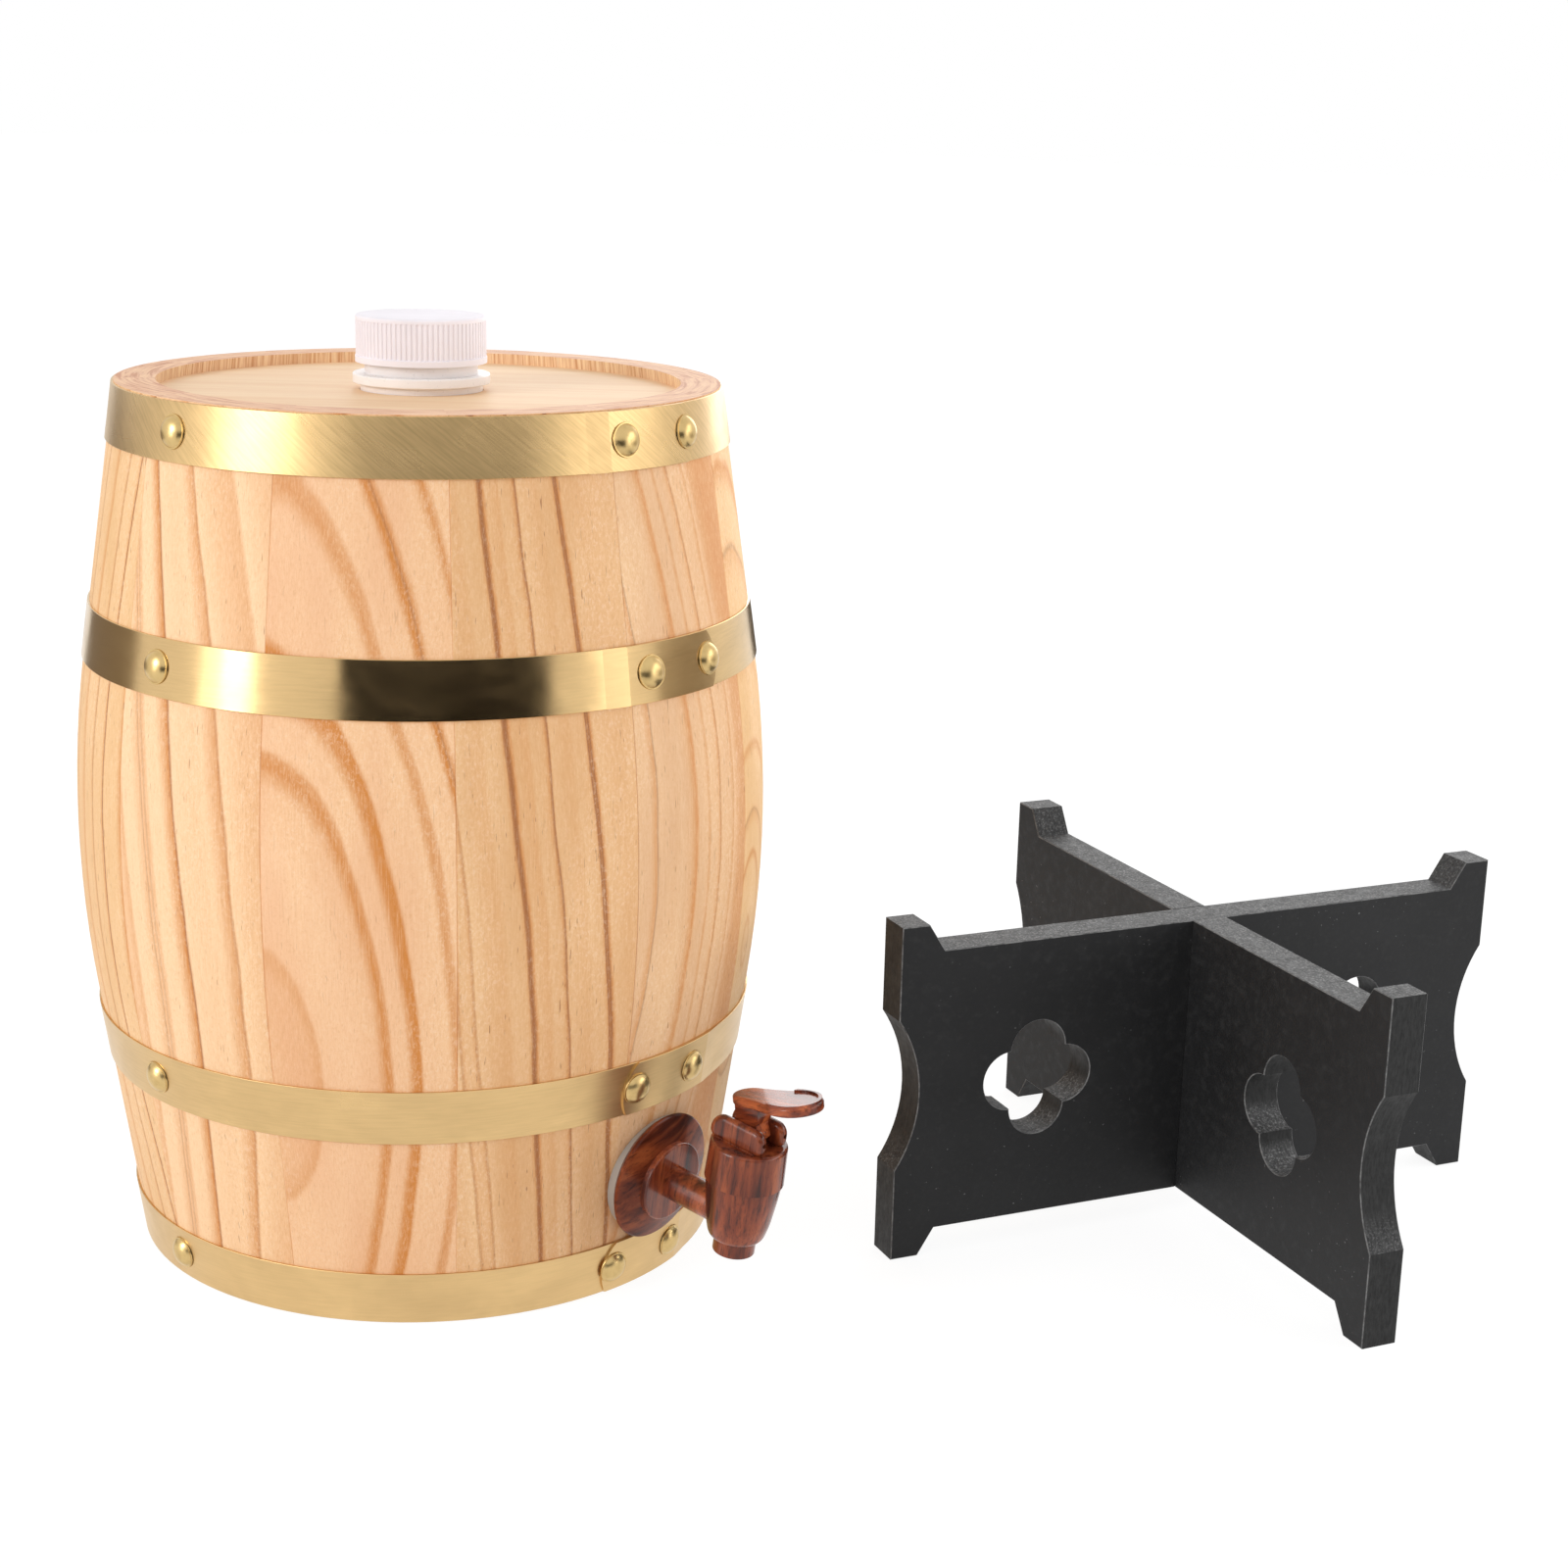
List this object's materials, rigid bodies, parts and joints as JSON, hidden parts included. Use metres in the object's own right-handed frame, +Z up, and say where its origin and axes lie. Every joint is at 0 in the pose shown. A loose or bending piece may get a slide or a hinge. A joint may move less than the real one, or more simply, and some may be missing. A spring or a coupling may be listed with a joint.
{
  "type": "cask liquor dispenser",
  "caption": "Standing wooden cask with brass hoops, a screw-capped liner and a plastic lever tap, beside its black half-lapped cross stand.",
  "frame": {"origin": "The centre of the cask's base, on the floor that the cask and the stand both stand on.", "axes": "+Z up along the cask's axis; the tap points to -Y; +X is to the right of someone facing the tap, and the stand stands on that side, in front."},
  "size_m": [0.4374, 0.4727, 0.3428],
  "materials": {
    "stave_wood": "satin",
    "head_wood": "satin",
    "hoop_brass": "brushed",
    "nail_brass": "polished",
    "liner_plastic": "translucent",
    "cap_plastic": "semi-gloss",
    "seal_foam": "matte",
    "silicone": "translucent",
    "tap_plastic": "gloss",
    "stem_plastic": "gloss",
    "pin_steel": "satin",
    "stand_wood": "stained, satin"
  },
  "bodies": {
    "cask": {"stave_01": "stave_wood", "stave_02": "stave_wood", "stave_03": "stave_wood", "stave_04": "stave_wood", "stave_05": "stave_wood", "stave_06": "stave_wood", "stave_07": "stave_wood", "stave_08": "stave_wood", "stave_09": "stave_wood", "stave_10": "stave_wood", "stave_11": "stave_wood", "stave_12": "stave_wood", "top_head": "head_wood", "bottom_head": "head_wood", "hoop_1": "hoop_brass", "hoop_2": "hoop_brass", "hoop_3": "hoop_brass", "hoop_4": "hoop_brass", "hoop_1_nails": "nail_brass", "hoop_2_nails": "nail_brass", "hoop_3_nails": "nail_brass", "hoop_4_nails": "nail_brass", "liner": "liner_plastic", "liner_mouth": "liner_plastic", "neck_ring": "liner_plastic", "tap_washer": "silicone", "tap_flange": "tap_plastic", "shank_seal": "silicone", "tap_body": "tap_plastic", "tap_bonnet": "tap_plastic", "seat_cup": "silicone", "pivot_pin": "pin_steel"},
    "lever": {"lever": "tap_plastic", "link_pin": "pin_steel"},
    "stem": {"stem": "stem_plastic"},
    "cap_disc": {"cap_seal": "seal_foam"},
    "cap": {"filler_cap": "cap_plastic"},
    "stand_lower": {"stand_lower_board": "stand_wood"},
    "stand_upper": {"stand_upper_board": "stand_wood"}
  },
  "joints": [
    {"name": "lever_press", "type": "hinge", "parent": "cask", "child": "lever", "pos_m": [0, -0.16329, 0.07136], "axis": [1, 0, 0], "range_deg": [0, 28], "stiffness_Nm_per_rad": 0.02, "springref_deg": -8.59},
    {"name": "stem_lift", "type": "slide", "parent": "cask", "child": "stem", "axis": [0, -0.1442, 0.9896], "range_m": [0, 0.00181], "deforming": ["seat_cup"]},
    {"name": "cap_lift", "type": "slide", "parent": "cask", "child": "cap_disc", "axis": [0, 0, 1], "range_m": [0, 0.014]},
    {"name": "cap_turn", "type": "hinge", "parent": "cap_disc", "child": "cap", "pos_m": [0, 0, 0.33], "axis": [0, 0, 1], "range_deg": [0, 1260]},
    {"name": "stand_lift", "type": "slide", "parent": "cask", "child": "stand_lower", "axis": [0, 0, 1], "range_m": [0, 0.15]},
    {"name": "boards_apart", "type": "slide", "parent": "stand_lower", "child": "stand_upper", "axis": [0, 0, 1], "range_m": [0, 0.14]}
  ],
  "couplings": [
    {"joint": "stem_lift", "follows": "lever_press", "m_per_rad": 0.003674},
    {"joint": "cap_lift", "follows": "cap_turn", "m_per_rad": 0.00063662}
  ]
}
